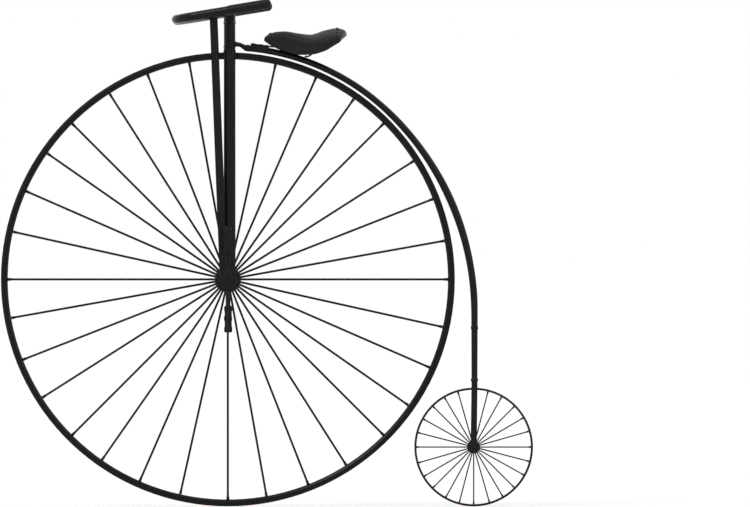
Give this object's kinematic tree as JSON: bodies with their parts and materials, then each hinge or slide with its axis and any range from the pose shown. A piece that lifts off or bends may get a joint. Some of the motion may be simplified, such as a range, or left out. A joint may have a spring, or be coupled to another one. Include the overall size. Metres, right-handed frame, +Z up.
{
  "type": "penny farthing bicycle",
  "caption": "High-wheel bicycle with a huge spoked front wheel driven by cranks, a curved tube backbone, a small rear wheel, a sprung leather saddle and a swept handlebar.",
  "frame": {"origin": "the rider's seat point, on the top of the saddle at its dip", "axes": "+Z up, -X the way the bicycle faces, +X to its rear, -Y its left side, +Y its right side"},
  "size_m": [1.6672, 0.6036, 1.586],
  "materials": {
    "enamel": "gloss black stove enamel",
    "steel": "blackened steel",
    "tyre": "solid black rubber",
    "leather": "waxed black leather",
    "grip": "hard black rubber",
    "pedal_rubber": "black rubber"
  },
  "bodies": {
    "frame": {"steering_head": "enamel", "backbone": "enamel", "rear_fork_crown": "enamel", "rear_fork_blade_left": "enamel", "rear_fork_blade_right": "enamel", "rear_axle": "steel", "rear_axle_nut_left": "steel", "rear_axle_nut_right": "steel", "mounting_step": "enamel", "spring_perch": "enamel", "saddle_spring": "steel", "saddle_clamp": "steel", "saddle_rails": "steel", "saddle_nose_plate": "steel", "saddle_cantle_plate": "steel", "saddle_leather": "leather"},
    "fork": {"fork_crown": "enamel", "fork_blade_left": "enamel", "fork_blade_right": "enamel", "axle_bearing_left": "enamel", "axle_bearing_right": "enamel", "fork_stay_left": "enamel", "fork_stay_right": "enamel", "handlebar_lug": "enamel", "handlebar": "enamel", "grip_left": "grip", "grip_right": "grip"},
    "front_wheel": {"front_tyre": "tyre", "front_rim": "enamel", "front_hub": "steel", "front_axle": "steel", "front_spokes": "steel", "crank_left": "steel", "crank_right": "steel", "pedal_spindle_left": "steel", "pedal_spindle_right": "steel"},
    "rear_wheel": {"rear_tyre": "tyre", "rear_rim": "enamel", "rear_hub": "steel", "rear_spokes": "steel"},
    "pedal_left": {"pedal_cage_left": "steel", "pedal_blocks_left": "pedal_rubber"},
    "pedal_right": {"pedal_cage_right": "steel", "pedal_blocks_right": "pedal_rubber"}
  },
  "joints": [
    {"name": "steering", "type": "hinge", "parent": "frame", "child": "fork", "pos_m": [-0.2524, 0, -0.00238], "axis": [0, 0, 1], "range_deg": [-35, 35]},
    {"name": "front_wheel_spin", "type": "hinge", "parent": "fork", "child": "front_wheel", "pos_m": [-0.258, 0, -0.76738], "axis": [0, 1, 0], "continuous": true},
    {"name": "rear_wheel_spin", "type": "hinge", "parent": "frame", "child": "rear_wheel", "pos_m": [0.512, 0, -1.29258], "axis": [0, 1, 0], "continuous": true},
    {"name": "pedal_spin_left", "type": "hinge", "parent": "front_wheel", "child": "pedal_left", "pos_m": [-0.258, -0.14, -0.64238], "axis": [0, 1, 0], "continuous": true},
    {"name": "pedal_spin_right", "type": "hinge", "parent": "front_wheel", "child": "pedal_right", "pos_m": [-0.258, 0.14, -0.89238], "axis": [0, 1, 0], "continuous": true}
  ]
}
